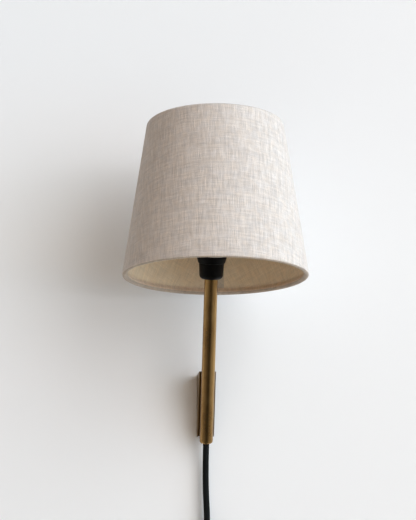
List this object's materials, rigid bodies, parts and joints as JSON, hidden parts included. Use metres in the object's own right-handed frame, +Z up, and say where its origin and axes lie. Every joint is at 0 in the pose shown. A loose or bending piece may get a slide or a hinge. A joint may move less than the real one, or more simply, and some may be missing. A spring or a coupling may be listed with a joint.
{
  "type": "fabric shade wall light",
  "caption": "Plug-in wall light: leaning brass stem on a short wall bracket, black lampholder, tapered linen shade, black braided flex with switch, tied coil and two-pin plug.",
  "frame": {"origin": "centre of the wall plate, on the wall's surface, midway between its two screw holes", "axes": "+Z up, +Y into the wall, room towards -Y"},
  "size_m": [0.1995, 0.2321, 0.6894],
  "materials": {
    "brass": "aged satin",
    "zinc_steel": "zinc plated",
    "white_wire": "satin",
    "black_plastic": "satin",
    "black_braid": "braided textile",
    "white_ceramic": "gloss",
    "terminal_brass": "bright",
    "bare_copper": "bright",
    "nickel": "nickel plated",
    "frosted_glass": "frosted",
    "linen": "coarse linen",
    "liner": "matt"
  },
  "bodies": {
    "root": {"bracket_cover": "brass", "centre_contact": "terminal_brass", "coil_tie": "black_plastic", "conductors": "bare_copper", "contact_rivets": "terminal_brass", "cord_grip": "black_plastic", "flex_coil": "black_braid", "flex_lower": "black_braid", "flex_upper": "black_braid", "foot_cap": "brass", "fork_nut": "zinc_steel", "fork_screw": "zinc_steel", "grub_screws": "zinc_steel", "holder_cap": "black_plastic", "holder_skirt": "black_plastic", "insulator": "white_ceramic", "nipple": "zinc_steel", "nut_bar": "zinc_steel", "pivot_fork": "white_wire", "pivot_nut": "zinc_steel", "pivot_screw": "zinc_steel", "plug_body": "black_plastic", "plug_pin_sleeves": "black_plastic", "plug_pins": "nickel", "plug_relief": "black_plastic", "rocker_pin": "zinc_steel", "screw_shell": "terminal_brass", "shade_carrier": "white_wire", "shade_nut": "black_plastic", "stem_flex": "black_braid", "stem_tube": "brass", "switch_back": "black_plastic", "switch_contacts": "terminal_brass", "switch_front": "black_plastic", "switch_screws": "zinc_steel", "terminal_blocks": "terminal_brass", "terminal_screws": "zinc_steel", "top_bush": "zinc_steel", "tube_screws": "brass", "wall_plate": "zinc_steel"},
    "shade": {"shade_linen": "linen", "shade_liner": "liner", "bottom_ring": "white_wire", "top_ring": "white_wire", "spider": "white_wire"},
    "bulb_tip": {"bulb_contact": "terminal_brass"},
    "bulb": {"bulb_cap": "nickel", "bulb_glass": "frosted_glass"},
    "rocker": {"switch_rocker": "black_plastic"}
  },
  "joints": [
    {"name": "shade_tilt", "type": "hinge", "parent": "root", "child": "shade", "pos_m": [0, -0.13235, 0.27891], "axis": [1, 0, 0], "range_deg": [-8.5, 12]},
    {"name": "bulb_rise", "type": "slide", "parent": "root", "child": "bulb_tip", "axis": [0, -0.342, 0.9397], "range_m": [0, 0.0085]},
    {"name": "bulb_turn", "type": "hinge", "parent": "bulb_tip", "child": "bulb", "pos_m": [0, -0.09828, 0.18532], "axis": [0, -0.342, 0.9397], "range_deg": [0, 1080]},
    {"name": "switch_rock", "type": "hinge", "parent": "root", "child": "rocker", "pos_m": [0.0015, -0.0142, -0.161], "axis": [1, 0, 0], "range_deg": [0, 14]}
  ],
  "couplings": [
    {"joint": "bulb_rise", "follows": "bulb_turn", "m_per_rad": 0.00044882}
  ]
}
